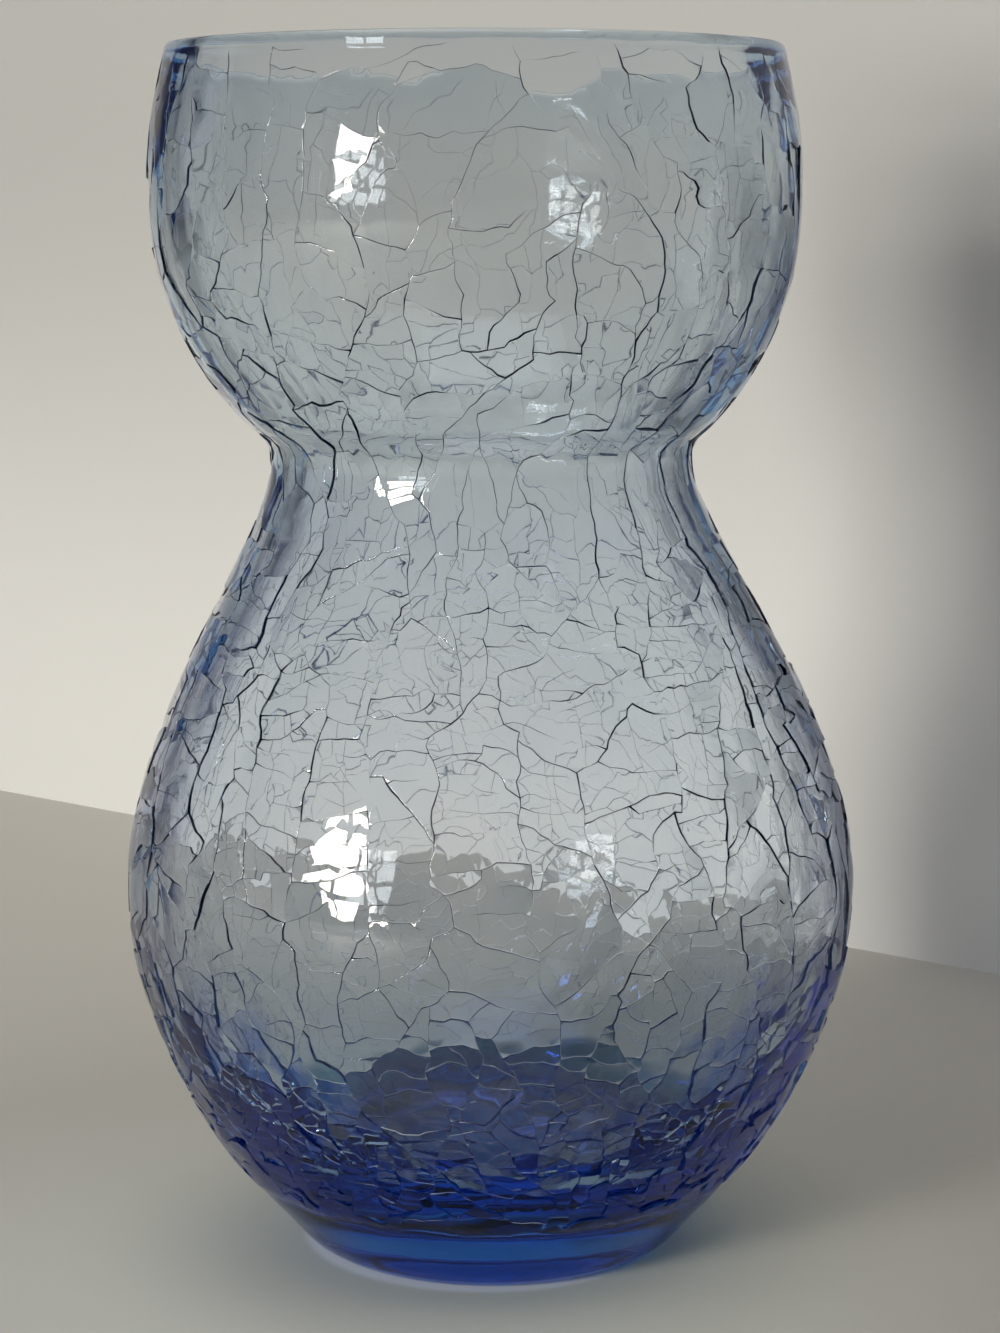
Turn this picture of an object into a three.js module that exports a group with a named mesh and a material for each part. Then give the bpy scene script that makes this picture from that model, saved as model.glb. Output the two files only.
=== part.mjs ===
// A bulb forcing vase of mouth-blown crackle glass. The cup at the top holds the bulb, the waist under it
// stops the bulb from sinking, and the round belly holds the water and the roots.
// The wall is one glass. It is divided at level faces into the zones that a glassblower would name.
// Millimetres, +Z up. The origin is the centre of the circle that the vase stands on.
import * as THREE from "three";

// Heights, each measured from the one before it, from the table up
const BELLY_RISE = 60; // table to the widest part of the belly
const SHOULDER_RISE = 72; // widest part of the belly to the foot of the neck
const NECK_LENGTH = 2.7; // the short upright neck between belly and cup
const CUP_RISE = 40.3; // top of the neck to the widest part of the cup
const RIM_RISE = 25; // widest part of the cup to the rim

// Outside radii
const FOOT_RADIUS = 30;
const BELLY_RADIUS = 61.3;
const WAIST_RADIUS = 35.1;
const CUP_RADIUS = 53.5;
const RIM_RADIUS = 50.1;

// Glass thickness
const BASE_THICKNESS = 13; // table to the inside floor
const HEEL_WALL = 14; // level with the inside floor, before its corner is rounded
const BELLY_WALL = 3;
const WAIST_WALL = 4.8;
const CUP_WALL = 4;
const LIP_WALL = 5; // the lip thickens towards the rim

// Edges and corners
const FOOT_EDGE = 3; // radius between the underside and the heel
const FLOOR_CORNER = 24; // radius of the round corner between the inside floor and the wall
const THROAT_RADIUS = 2; // crease where the cup leaves the neck
const LIP_EDGE = 0.7; // fire-polished edges of the rim
const RESTING_WIDTH = 8; // flat ring that the vase stands on
const PUNT_DEPTH = 1.5; // shallow hollow inside that ring

// Zone borders, where they aren't at a height above
const HEEL_RISE = 19; // the heel zone, from the inside floor up
const COLLAR_RISE = 30; // the collar zone, from the shoulder up to the waist zone
const WAIST_REACH = 8; // how far the waist zone goes down from the foot of the neck
const BOWL_RISE = 24; // the bowl of the cup, from the crease up
const LIP_DEPTH = 6; // how far the lip zone goes down from the rim

// The cup was set a little off the belly's axis when it was blown
const CUP_OFFSET = -2.5; // along X
const UPRIGHT_SHOULDER = 20; // height above the belly's widest part that is still true

// Shape of the curves: angles, and the pull of each end as a share of the curve's own rise
const HEEL_SLOPE = THREE.MathUtils.degToRad(38); // above level, where the heel leaves the foot
const CUP_FLARE = THREE.MathUtils.degToRad(52.4); // off upright, where the cup leaves the throat
const RIM_LEAN = THREE.MathUtils.degToRad(12); // off upright, inwards at the rim
const HEEL_PULL = 0.365;
const BELLY_PULL_DOWN = 0.317;
const BELLY_PULL_UP = 0.44;
const NECK_PULL = 0.165;
const THROAT_PULL = 0.18;
const CUP_PULL_DOWN = 0.533;
const CUP_PULL_UP = 0.5;
const RIM_PULL = 0.35;

// Facets
const SIDES = 48;
const EDGE_STEPS = 3;
const CORNER_STEPS = 5;
const BELLY_STEPS = 9;
const SHOULDER_STEPS = 10;
const CUP_STEPS = 8;
const RIM_STEPS = 4;
const PUNT_STEPS = 5;

const BELLY_HEIGHT = BELLY_RISE;
const NECK_FOOT = BELLY_HEIGHT + SHOULDER_RISE;
const NECK_TOP = NECK_FOOT + NECK_LENGTH;
const CUP_HEIGHT = NECK_TOP + CUP_RISE;
const HEIGHT = CUP_HEIGHT + RIM_RISE;
const PUNT_RADIUS = FOOT_RADIUS - FOOT_EDGE * Math.tan(HEEL_SLOPE / 2) - RESTING_WIDTH;

const point = (radius, height) => new THREE.Vector2(radius, height);

// Points along a chain of curves, each given with its number of steps
function chain(...curves) {
  return curves.flatMap(([curve, steps], i) => curve.getPoints(steps).slice(i ? 1 : 0));
}

// One side of the glass, from its lowest corner up to the rim, as radius and height
function blownSide({ corner, bottom, cornerRadius, belly, waist, throat, cup, rim }) {
  const start = corner - cornerRadius * Math.tan(HEEL_SLOPE / 2);
  const heel = new THREE.EllipseCurve(
    start, bottom + cornerRadius, cornerRadius, cornerRadius, -Math.PI / 2, HEEL_SLOPE - Math.PI / 2,
  );
  const heelTop = heel.getPoint(1);
  const bellyRise = BELLY_HEIGHT - heelTop.y;
  const heelPull = point(Math.cos(HEEL_SLOPE), Math.sin(HEEL_SLOPE)).multiplyScalar(HEEL_PULL * bellyRise);
  const lowerBelly = new THREE.CubicBezierCurve(
    heelTop,
    heelTop.clone().add(heelPull),
    point(belly, BELLY_HEIGHT - BELLY_PULL_DOWN * bellyRise),
    point(belly, BELLY_HEIGHT),
  );
  const shoulder = new THREE.CubicBezierCurve(
    point(belly, BELLY_HEIGHT),
    point(belly, BELLY_HEIGHT + BELLY_PULL_UP * SHOULDER_RISE),
    point(waist, NECK_FOOT - NECK_PULL * SHOULDER_RISE),
    point(waist, NECK_FOOT),
  );
  const neck = new THREE.LineCurve(point(waist, NECK_FOOT), point(waist, NECK_TOP));
  const crease = new THREE.EllipseCurve(
    waist + throat, NECK_TOP, throat, throat, Math.PI, Math.PI - CUP_FLARE, true,
  );
  const creaseTop = crease.getPoint(1);
  const cupRise = CUP_HEIGHT - creaseTop.y;
  const flarePull = point(Math.sin(CUP_FLARE), Math.cos(CUP_FLARE)).multiplyScalar(THROAT_PULL * cupRise);
  const cupSide = new THREE.CubicBezierCurve(
    creaseTop,
    creaseTop.clone().add(flarePull),
    point(cup, CUP_HEIGHT - CUP_PULL_DOWN * cupRise),
    point(cup, CUP_HEIGHT),
  );
  const rimPull = point(Math.sin(RIM_LEAN), -Math.cos(RIM_LEAN)).multiplyScalar(RIM_PULL * RIM_RISE);
  const rimSide = new THREE.CubicBezierCurve(
    point(cup, CUP_HEIGHT),
    point(cup, CUP_HEIGHT + CUP_PULL_UP * RIM_RISE),
    point(rim, HEIGHT).add(rimPull),
    point(rim, HEIGHT),
  );
  return chain(
    [heel, EDGE_STEPS],
    [lowerBelly, BELLY_STEPS],
    [shoulder, SHOULDER_STEPS],
    [neck, 1],
    [crease, CORNER_STEPS],
    [cupSide, CUP_STEPS],
    [rimSide, RIM_STEPS],
  );
}

// Radius of a side at a height
function radiusAt(side, height) {
  const above = Math.max(1, side.findIndex((p) => p.y >= height));
  const low = side[above - 1];
  const high = side[above];
  return THREE.MathUtils.mapLinear(height, low.y, high.y, low.x, high.x);
}

// The stretch of a side between two heights, with a point at each
function between(side, low, high) {
  return [
    point(radiusAt(side, low), low),
    ...side.filter((p) => p.y > low && p.y < high),
    point(radiusAt(side, high), high),
  ];
}

const outside = blownSide({
  corner: FOOT_RADIUS,
  bottom: 0,
  cornerRadius: FOOT_EDGE,
  belly: BELLY_RADIUS,
  waist: WAIST_RADIUS,
  throat: THROAT_RADIUS,
  cup: CUP_RADIUS,
  rim: RIM_RADIUS,
});
const inside = blownSide({
  corner: radiusAt(outside, BASE_THICKNESS) - HEEL_WALL,
  bottom: BASE_THICKNESS,
  cornerRadius: FLOOR_CORNER,
  belly: BELLY_RADIUS - BELLY_WALL,
  waist: WAIST_RADIUS - WAIST_WALL,
  throat: THROAT_RADIUS + WAIST_WALL,
  cup: CUP_RADIUS - CUP_WALL,
  rim: RIM_RADIUS - LIP_WALL,
});

// How far the glass at a height stands off the belly's axis
function offsetAt(height) {
  return CUP_OFFSET * THREE.MathUtils.smoothstep(height, BELLY_HEIGHT + UPRIGHT_SHOULDER, CUP_HEIGHT);
}

// A closed profile turned round the axis, then set over with the rest of the glass
function turned(name, profile, colour) {
  const geometry = new THREE.LatheGeometry(profile, SIDES).rotateX(Math.PI / 2);
  const place = geometry.getAttribute("position");
  for (let i = 0; i < place.count; i++) {
    place.setX(i, place.getX(i) + offsetAt(place.getZ(i)));
  }
  geometry.computeVertexNormals();
  const glass = new THREE.MeshStandardMaterial({
    color: colour, roughness: 0.04, metalness: 0, transparent: true, opacity: 0.4,
  });
  const mesh = new THREE.Mesh(geometry, glass);
  mesh.name = name;
  return mesh;
}

// A ring of the wall between two heights
function wallRing(name, low, high, colour) {
  const profile = [...between(outside, low, high), ...between(inside, low, high).reverse()];
  return turned(name, [...profile, profile[0].clone()], colour);
}

// The thick bottom: hollowed a little underneath, flat on top where the heel stands on it
function baseDisc(name, colour) {
  const punt = new THREE.QuadraticBezierCurve(
    point(0, PUNT_DEPTH), point(PUNT_RADIUS / 2, PUNT_DEPTH), point(PUNT_RADIUS, 0),
  );
  const profile = [
    ...punt.getPoints(PUNT_STEPS),
    ...between(outside, 0, BASE_THICKNESS),
    point(0, BASE_THICKNESS),
  ];
  return turned(name, profile, colour);
}

// The rim: the wall's top few millimetres with both edges melted round
function lipRing(name, low, colour) {
  const edge = Math.min(LIP_EDGE, LIP_WALL / 2);
  const top = HEIGHT - edge;
  const corner = (radius, from) =>
    new THREE.EllipseCurve(radius, top, edge, edge, from, from + Math.PI / 2).getPoints(EDGE_STEPS);
  const profile = [
    ...between(outside, low, top).slice(0, -1),
    ...corner(radiusAt(outside, top) - edge, 0),
    ...corner(radiusAt(inside, top) + edge, Math.PI / 2),
    ...between(inside, low, top).reverse().slice(1),
  ];
  return turned(name, [...profile, profile[0].clone()], colour);
}

const heelTop = BASE_THICKNESS + HEEL_RISE;
const waistBottom = NECK_FOOT - WAIST_REACH;
const collarBottom = waistBottom - COLLAR_RISE;
const waistTop = NECK_TOP + THROAT_RADIUS * Math.sin(CUP_FLARE);
const bowlTop = waistTop + BOWL_RISE;
const lipBottom = HEIGHT - LIP_DEPTH;

const vase = new THREE.Group();
vase.name = "bulb_forcing_vase";
vase.add(
  baseDisc("base", 0x27519f),
  wallRing("heel", BASE_THICKNESS, heelTop, 0x4a6796),
  wallRing("belly", heelTop, BELLY_HEIGHT, 0x7d8ea8),
  wallRing("shoulder", BELLY_HEIGHT, collarBottom, 0xa3a9b6),
  wallRing("collar", collarBottom, waistBottom, 0x9fa6b6),
  wallRing("waist", waistBottom, waistTop, 0x9aa3b8),
  wallRing("cup_bowl", waistTop, bowlTop, 0x9ba3b4),
  wallRing("cup_wall", bowlTop, lipBottom, 0xa0a4ae),
  lipRing("lip", lipBottom, 0xacb0b8),
);

export default vase;
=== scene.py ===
"""Dresses the bulb forcing vase: one blown wall of pale blue glass, with a net of real cracks in its skin."""

import math
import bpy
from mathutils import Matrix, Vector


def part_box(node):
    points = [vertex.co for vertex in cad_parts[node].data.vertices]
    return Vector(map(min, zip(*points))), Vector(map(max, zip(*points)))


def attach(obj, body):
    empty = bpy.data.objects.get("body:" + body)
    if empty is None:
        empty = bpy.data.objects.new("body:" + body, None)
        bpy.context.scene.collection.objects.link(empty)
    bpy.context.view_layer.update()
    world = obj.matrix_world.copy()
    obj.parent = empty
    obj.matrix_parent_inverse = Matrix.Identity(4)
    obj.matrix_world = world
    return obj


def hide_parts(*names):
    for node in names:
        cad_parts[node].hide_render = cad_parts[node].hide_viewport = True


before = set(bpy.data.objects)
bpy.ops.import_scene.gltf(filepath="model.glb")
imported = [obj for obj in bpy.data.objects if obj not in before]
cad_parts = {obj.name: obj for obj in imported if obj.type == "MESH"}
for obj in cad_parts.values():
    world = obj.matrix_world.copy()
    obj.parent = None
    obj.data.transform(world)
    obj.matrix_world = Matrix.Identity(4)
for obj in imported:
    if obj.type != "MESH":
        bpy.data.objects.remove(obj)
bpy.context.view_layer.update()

from types import SimpleNamespace

import bpy
import numpy as np
from bpy.props import FloatProperty, FloatVectorProperty, IntProperty, PointerProperty
from mathutils import Vector, noise
from mathutils.geometry import delaunay_2d_cdt
from mathutils.kdtree import KDTree

bl_info = {
    "name": "Crackle glass forcing vase",
    "version": (1, 0, 0),
    "blender": (4, 5, 0),
    "location": "View3D > Sidebar > Vase",
    "description": "Blows a bulb forcing vase of crackle glass round its CAD section, on a studio table",
    "category": "Object",
}

MM = 0.001
TURN = 2 * math.pi

# The crackle by height above the table: lengths in millimetres, then turns in radians and a slope
CRACKLE_BY_HEIGHT = (
    # height, gap between uprights, gap between levels, width, gap between hairs, wander, lean, plate tilt
    (2, 3.8, 2.2, 0.06, 99, 0.26, 0.6, 0.05),
    (28, 3.8, 2.2, 0.06, 99, 0.26, 0.7, 0.08),
    (36, 4.2, 2.8, 0.07, 99, 0.24, 0.8, 0.08),
    (44, 5.0, 4.0, 0.07, 99, 0.22, 0.8, 0.06),
    (56, 6.8, 6.0, 0.08, 12, 0.20, 0.7, 0.03),
    (66, 9.5, 9.0, 0.10, 6, 0.18, 0.4, 0.035),
    (72, 11.0, 11.0, 0.12, 4, 0.16, 0.25, 0.038),
    (84, 12.0, 12.0, 0.14, 3.0, 0.16, 0.15, 0.038),
    (92, 12.0, 12.0, 0.14, 2.4, 0.16, 0.15, 0.035),
    (106, 11.0, 11.0, 0.14, 2.2, 0.18, 0.18, 0.03),
    (116, 9.5, 9.0, 0.11, 3, 0.18, 0.4, 0.025),
    (122, 6.5, 16.0, 0.08, 8, 0.14, 0.2, 0.02),
    (134, 5.5, 24.0, 0.07, 20, 0.12, 0.2, 0.02),
    (138, 9.0, 7.0, 0.13, 99, 0.20, 0.5, 0.02),
    (146, 10.0, 7.0, 0.13, 99, 0.20, 0.5, 0.022),
    (160, 10.0, 8.0, 0.11, 99, 0.20, 0.45, 0.022),
    (170, 9.5, 12.0, 0.09, 20, 0.20, 0.35, 0.024),
    (184, 9.0, 16.0, 0.07, 10, 0.20, 0.3, 0.028),
    (200, 8.0, 18.0, 0.06, 9, 0.20, 0.3, 0.03),
)
# Its columns after the height
UPRIGHT_GAP, LEVEL_GAP, CRACK_WIDTH, HAIR_GAP, WANDER, LEAN, TILT = range(1, 8)

# Kinds of crack, and how they end
UPRIGHT, LEVEL, HAIR = range(3)
ANY_CRACK = (UPRIGHT, LEVEL, HAIR)
LONGEST_BRANCH = 40 * MM
NO_HAIRS = 40 * MM  # where the gap between hairs is wider than this, there are none
LIP_DROP = 0.45  # how far the melted lip of a crack goes down, as a share of its width
FORK_REACH = 0.4  # keeps the lips of a narrow fork from running far out of it

# The skin: where it starts and ends, and how it settles between the cracks
SKIN_LOW = 2.0 * MM  # above the table
SKIN_MARGIN = 1.4 * MM  # below the rim
LEDGE_HEIGHT = 13.5 * MM  # a slight ledge, above which the skin is crackled
LEDGE_HALF = 0.35 * MM  # half of the ledge's width
LEDGE_WAVE = 0.5 * MM  # how far the ledge goes up and down
LEDGE_WAVE_POINTS = 9  # points of the ledge from wave to wave
LEDGE_TOP = 0.2 * MM  # the drop to the smooth foot starts this far above the ledge's middle
LEDGE_DROP = 0.1 * MM  # and takes this length
PLATE_DEPTH = 0.3 * MM  # how far under the blown surface a plate lies
DEEPEST_PLATE = 0.6 * MM
FOOT_FADE = 6 * MM  # the skin comes up to the blown surface over this length at the foot
RIM_FADE = 2 * MM  # and over this one at the rim
WAVE_ACROSS = 6  # millimetres from wave to wave round the glass
WAVE_UP = 50  # and up it
INNER_WAVE = 0.08 * MM  # height of the slow waves inside
INNER_WAVE_LENGTH = 24 * MM
INNER_CALM = 8 * MM  # they grow to their full height over this length from the rim

# How finely the glass is drawn
SECTION_STEP = 0.5 * MM
PUNT_POINTS = 12
LOW_RING = 128
LEDGE_RING = 180
HIGH_RING = 160
RIM_ROWS = 8
RIM_STEPS = (0.5, 1, 1.5, 2, 3, 5)  # millimetres along the inside, from the top of the rim
INNER_ROWS = 56
FLOOR_ROWS = 8
FOOT_ROWS = 5
PUNT_ROWS = 9

# Heights between which each colour of the glass fades out
FOOT_COLOUR = (4 * MM, 9 * MM)
BASE_COLOUR = (9 * MM, 13.5 * MM)
GLINT_COLOUR = (22 * MM, 40 * MM)
HEEL_COLOUR = (26 * MM, 42 * MM)
SIDE_COLOUR = (105 * MM, 130 * MM)
BELLY_COLOUR = (115 * MM, 140 * MM)

# How far the glass is turned from the eye, from 0 to 1, where its edge-on colour starts and where it is full
SIDE_EDGE = (0.45, 0.9)
HEEL_EDGE = (0.4, 0.6)

# Heights between which the painted shade of the cracks goes from pale to dark, and how dark it is there
CRACK_COLOUR = (36 * MM, 62 * MM)
CRACK_DARKNESS = (0.05, 1)

# Light and shade painted on the table, under the vase and round it
TABLE_SPOTS = (
    # colour, centre, radius up to which it is full, radius where it is gone
    ("#dcddd2", (-20 * MM, -30 * MM, 0), 30 * MM, 130 * MM),
    ("#5a6a84", (2 * MM, 32 * MM, 0), 22 * MM, 44 * MM),
    ("#ffffff", (-1 * MM, -1.5 * MM, 0), 29.5 * MM, 32 * MM),
    ("#4c5e84", (0, 0, 0), 24 * MM, 30.5 * MM),
    ("#90fff0", (0, 0, 0), 8 * MM, 22 * MM),
)
LAMPS = (
    # name, place and size in metres, panes across and up, power in watts, colour
    ("window_lamp", (-0.85, -0.95, 0.32), (0.34, 0.4), (2, 3), 12.8, "#fffaf2"),
    ("left_lamp", (-0.95, 0.3, 0.3), (0.45, 0.6), (1, 1), 0.3, "#ffffff"),
    ("side_lamp", (1.1, -0.35, 0.55), (0.25, 0.9), (1, 1), 2.1, "#f2f6ff"),
    ("top_lamp", (0, -0.2, 1.6), (1.4, 1.4), (1, 1), 8.5, "#ffffff"),
)
LAMP_AIM = (0, 0, 0.1)
PANE_BAR = 0.03


def linear(code):
    """A colour written as sRGB hex, as the linear values that shaders take."""
    parts = (int(code[i:i + 2], 16) / 255 for i in (1, 3, 5))
    return tuple(c / 12.92 if c <= 0.04045 else ((c + 0.055) / 1.055) ** 2.4 for c in parts)


def add_node(tree, kind, inputs=None, **settings):
    """Adds a node with its settings, and links or sets its inputs."""
    node = tree.nodes.new(kind)
    for name, value in settings.items():
        setattr(node, name, value)
    for name, value in (inputs or {}).items():
        if isinstance(value, bpy.types.NodeSocket):
            tree.links.new(value, node.inputs[name])
        else:
            node.inputs[name].default_value = value
    return node


def colour_property(name, description, code):
    """A colour that a user may change, with its default as sRGB hex."""
    return FloatVectorProperty(
        name=name, description=description, subtype="COLOR", default=linear(code), min=0, max=1,
    )


class VaseGlass(bpy.types.PropertyGroup):
    """The glass itself."""

    tint: colour_property("Tint", "Colour that the glass lets through", "#75c0ec")
    density: FloatProperty(
        name="Density", description="How strongly a metre of the glass takes up light", default=62, min=0,
    )
    ior: FloatProperty(name="IOR", description="Index of refraction of soda glass", default=1.5, min=1)
    roughness: FloatProperty(
        name="Roughness", description="Roughness of the fire-polished surface", subtype="FACTOR",
        default=0.02, min=0, max=1,
    )
    inner_roughness: FloatProperty(
        name="Inner roughness", description="Roughness of the inside, which was never polished",
        subtype="FACTOR", default=0.03, min=0, max=1,
    )
    crack_roughness: FloatProperty(
        name="Crack roughness", description="Roughness of the sides of a crack", subtype="FACTOR",
        default=0.2, min=0, max=1,
    )
    wall_tint: colour_property("Wall tint", "Trace of colour in the thin wall of the belly", "#fffdfc")
    cup_tint: colour_property("Cup tint", "Trace of colour in the thicker glass of the cup", "#fffbf6")
    base_tint: colour_property("Base tint", "Heavier colour of the glass towards the base", "#78d8d8")
    foot_tint: colour_property("Foot tint", "Deepest colour of the glass, at the foot", "#1080d0")
    side_tint: colour_property("Side tint", "Deeper colour of the belly where it is seen edge-on", "#9c9ab8")
    heel_tint: colour_property("Heel tint", "Deeper colour of the heel where it is seen edge-on", "#1c58d0")
    base_glint: colour_property(
        "Base glint", "Colour of the reflections in the deep glass of the base", "#5a8cff",
    )
    # Painted shade in the cracks: the colour that darkens their sides
    crack_shade: colour_property(
        "Crack shade", "How much light comes through the sides of a crack", "#1e2026",
    )


class VaseCrackle(bpy.types.PropertyGroup):
    """The net of cracks in the outer skin."""

    seed: IntProperty(name="Seed", description="Which net of cracks is drawn", default=3)
    steepness: FloatProperty(
        name="Steepness", description="Depth of a crack as a multiple of its width", default=3.0, min=0,
    )
    hair_width: FloatProperty(
        name="Hair width", description="Width of the hair cracks across a plate", unit="LENGTH",
        default=0.07 * MM, min=0,
    )
    lip: FloatProperty(
        name="Lip", description="Width of the melted lip at each side of a crack", unit="LENGTH",
        default=0.12 * MM, min=0.02 * MM,
    )
    facet: FloatProperty(
        name="Facet", description="Spacing of the points on the skin between cracks", unit="LENGTH",
        default=2.5 * MM, min=0.5 * MM,
    )
    ripple: FloatProperty(
        name="Ripple", description="Height of the upright waves left in the blown skin", unit="LENGTH",
        default=0.09 * MM, min=0,
    )
    seeds: IntProperty(name="Seeds", description="How many air bubbles the wall holds", default=14, min=0)
    plate: FloatProperty(
        name="Plate", description="Largest width of a plate that the skin has settled into", unit="LENGTH",
        default=11 * MM, min=MM,
    )
    flatness: FloatProperty(
        name="Flatness", description="How far a plate has lost its curve round the vase", subtype="FACTOR",
        default=0.8, min=0, max=1,
    )


class VaseStage(bpy.types.PropertyGroup):
    """The table, the backdrop, the lamps and the camera."""

    table: colour_property("Table", "Colour of the table", "#cbc8be")
    wall: colour_property("Backdrop", "Colour of the backdrop", "#efefea")
    wall_gap: FloatProperty(
        name="Backdrop gap", description="Distance from the vase's axis to the backdrop behind it",
        unit="LENGTH", default=260 * MM,
    )
    wall_turn: FloatProperty(
        name="Backdrop turn", description="How far the backdrop is turned from the picture", unit="ROTATION",
        default=math.radians(-39),
    )
    distance: FloatProperty(
        name="Camera distance", description="From the vase's axis", unit="LENGTH", default=491.8 * MM,
    )
    eye: FloatProperty(name="Eye height", description="Above the table", unit="LENGTH", default=175.6 * MM)
    sideways: FloatProperty(
        name="Sideways", description="Camera to the right of the axis", unit="LENGTH", default=1.6 * MM,
    )
    pitch: FloatProperty(
        name="Pitch", description="How far the camera looks down", unit="ROTATION", default=math.radians(9),
    )
    lens: FloatProperty(name="Lens", description="Focal length in millimetres", default=80.1)
    bounces: IntProperty(
        name="Bounces", description="How many times light may turn inside the thick glass", default=40, min=0,
    )


# The section of the glass


def smooth_curve(points, step):
    """A smooth curve through points, as points about a step apart."""
    p = np.asarray(points)
    gap = np.linalg.norm(np.diff(p, axis=0), axis=1)
    along = np.concatenate(([0], np.cumsum(gap)))
    slope = np.diff(p, axis=0) / gap[:, None]
    middle = (slope[:-1] * gap[1:, None] + slope[1:] * gap[:-1, None]) / (gap[:-1] + gap[1:])[:, None]
    tangent = np.vstack((slope[:1], middle, slope[-1:]))
    at = np.linspace(0, along[-1], int(along[-1] / step) + 1)
    i = np.clip(np.searchsorted(along, at, side="right") - 1, 0, len(gap) - 1)
    h = gap[i][:, None]
    t = ((at - along[i]) / gap[i])[:, None]
    ends = (1 + 2 * t) * (1 - t) ** 2 * p[i] + t * t * (3 - 2 * t) * p[i + 1]
    return ends + h * t * (1 - t) * ((1 - t) * tangent[i] - t * tangent[i + 1])


def read_rings():
    """The rings of points that the CAD wall is turned from: those that look out and those that look in.

    Each row is a ring's radius, how far its centre stands off the axis, and its height.
    """
    corners = []
    looks = []
    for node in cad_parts.values():
        mesh = node.data
        for face in mesh.polygons:
            outwards = Vector((face.center.x, face.center.y, 0)).normalized()
            for i in face.vertices:
                corners.append(mesh.vertices[i].co)
                looks.append(face.normal.dot(outwards))
    looks = np.array(looks)
    corners = np.array(corners)
    order = np.argsort(corners[:, 2])
    x, y, z = corners[order].T
    looks = looks[order]
    same_level = 1e-6
    level = np.cumsum(np.diff(z, prepend=z[0]) > same_level)
    starts = np.flatnonzero(np.diff(level, prepend=-1))
    centre = (np.minimum.reduceat(x, starts) + np.maximum.reduceat(x, starts)) / 2
    radius = np.hypot(x - centre[level], y)
    height = z[starts]
    flat = 0.05
    sides = []
    for chosen in (looks > flat, looks < -flat):
        count = np.bincount(level[chosen], minlength=len(starts))
        total = np.bincount(level[chosen], radius[chosen], minlength=len(starts))
        found = count > 0
        sides.append(np.c_[total[found] / count[found], centre[found], height[found]])
    return sides


def read_section():
    """The glass cut through its axis: under the foot, up the outside, over the rim and down the inside."""
    outside, inside = read_rings()
    close = MM / 100
    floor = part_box("base")[1].z
    punt_edge = inside[0, 0]
    inside = inside[inside[:, 2] > floor - close][::-1]
    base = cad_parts["base"].data.vertices
    punt_top = min(v.co.z for v in base if v.co.xy.length < close)
    punt = [(r, 0, punt_top * (1 - (r / punt_edge) ** 2)) for r in np.linspace(0, punt_edge, PUNT_POINTS)]
    parts = [
        np.array(punt),
        smooth_curve(outside, SECTION_STEP),
        smooth_curve(inside, SECTION_STEP),
        np.array([(0, 0, floor)]),
    ]
    points = np.vstack(parts)
    run = np.concatenate(([0], np.cumsum(np.linalg.norm(np.diff(points, axis=0), axis=1))))
    outer_end = len(parts[0]) + len(parts[1])
    inner_end = outer_end + len(parts[2])
    outer = slice(len(parts[0]), outer_end)
    radius, _, height = points.T
    skin_low = np.interp(SKIN_LOW, height[outer], run[outer])
    ledge = np.interp(LEDGE_HEIGHT, height[outer], run[outer])
    skin_high = np.interp(height.max() - SKIN_MARGIN, height[outer], run[outer])
    # The conformal measure of the run, in which a turn round the glass and a step up it keep their shape
    swell = np.concatenate(([0], np.cumsum(np.diff(run) / np.maximum(radius[1:], MM))))
    return SimpleNamespace(
        points=points, run=run, radius=radius, height=height, swell=swell,
        skin_low=skin_low, ledge=ledge, skin_high=skin_high,
        foot_edge=run[len(parts[0])], rim_top=run[outer_end], floor_edge=run[inner_end - 1], end=run[-1],
    )


# The cracks, drawn flat


def near_turn(turn, other):
    """The same turn, counted so that it lies within half a turn of another."""
    return other + (turn - other + math.pi) % TURN - math.pi


def by_height(column, height):
    """A column of the crackle's table at a height in metres, with lengths in metres."""
    table = np.array(CRACKLE_BY_HEIGHT)
    found = float(np.interp(height / MM, table[:, 0], table[:, column]))
    return found * MM if column < WANDER else found


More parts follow.
